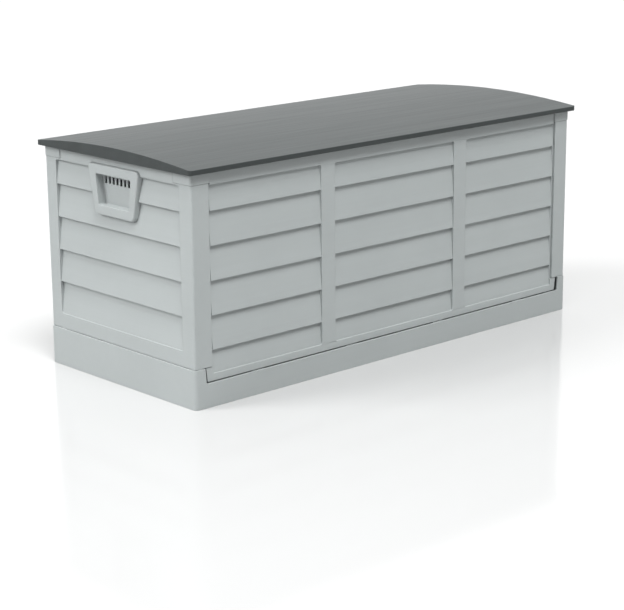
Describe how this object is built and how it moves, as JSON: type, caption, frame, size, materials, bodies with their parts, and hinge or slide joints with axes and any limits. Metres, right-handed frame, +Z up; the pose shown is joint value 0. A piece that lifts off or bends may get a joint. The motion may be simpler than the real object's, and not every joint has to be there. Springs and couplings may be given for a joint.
{
  "type": "deck storage box",
  "caption": "Long low resin storage box with clapboard walls, a tray base, recessed end handles, fold-in long walls and a crowned lid on clip hinges.",
  "frame": {"origin": "centre of the footprint, on the ground", "axes": "+X along the length to the right end, front towards -Y, +Z up"},
  "size_m": [1.126, 0.501, 0.4908],
  "materials": {
    "wall_resin": "fine satin moulding texture",
    "base_resin": "fine satin moulding texture",
    "lid_resin": "satin with fine lengthwise grain",
    "hook_resin": "smooth",
    "pin_steel": "plain drawn"
  },
  "bodies": {
    "box": {"base_tray": "base_resin", "left_end_wall": "wall_resin", "right_end_wall": "wall_resin", "left_handle_cup": "wall_resin", "right_handle_cup": "wall_resin", "cap_front_left": "wall_resin", "cap_front_right": "wall_resin", "cap_rear_left": "wall_resin", "cap_rear_right": "wall_resin", "front_wall_pins": "pin_steel", "back_wall_pins": "pin_steel", "left_wall_pins": "pin_steel", "right_wall_pins": "pin_steel"},
    "front_wall": {"front_wall": "wall_resin"},
    "back_wall": {"back_wall": "wall_resin", "lid_hinge_rods": "pin_steel"},
    "lid": {"lid": "lid_resin", "hinge_hooks_left": "hook_resin", "hinge_hooks_middle": "hook_resin", "hinge_hooks_right": "hook_resin"}
  },
  "joints": [
    {"name": "lid_hinge", "type": "hinge", "parent": "box", "child": "lid", "pos_m": [0, 0.2435, 0.455], "axis": [-1, 0, 0], "range_deg": [0, 100]},
    {"name": "front_wall_fold", "type": "hinge", "parent": "box", "child": "front_wall", "pos_m": [0, -0.2295, 0.0165], "axis": [-1, 0, 0], "range_deg": [0, 90]},
    {"name": "back_wall_fold", "type": "hinge", "parent": "box", "child": "back_wall", "pos_m": [0, 0.2295, 0.0335], "axis": [1, 0, 0], "range_deg": [0, 90]}
  ]
}
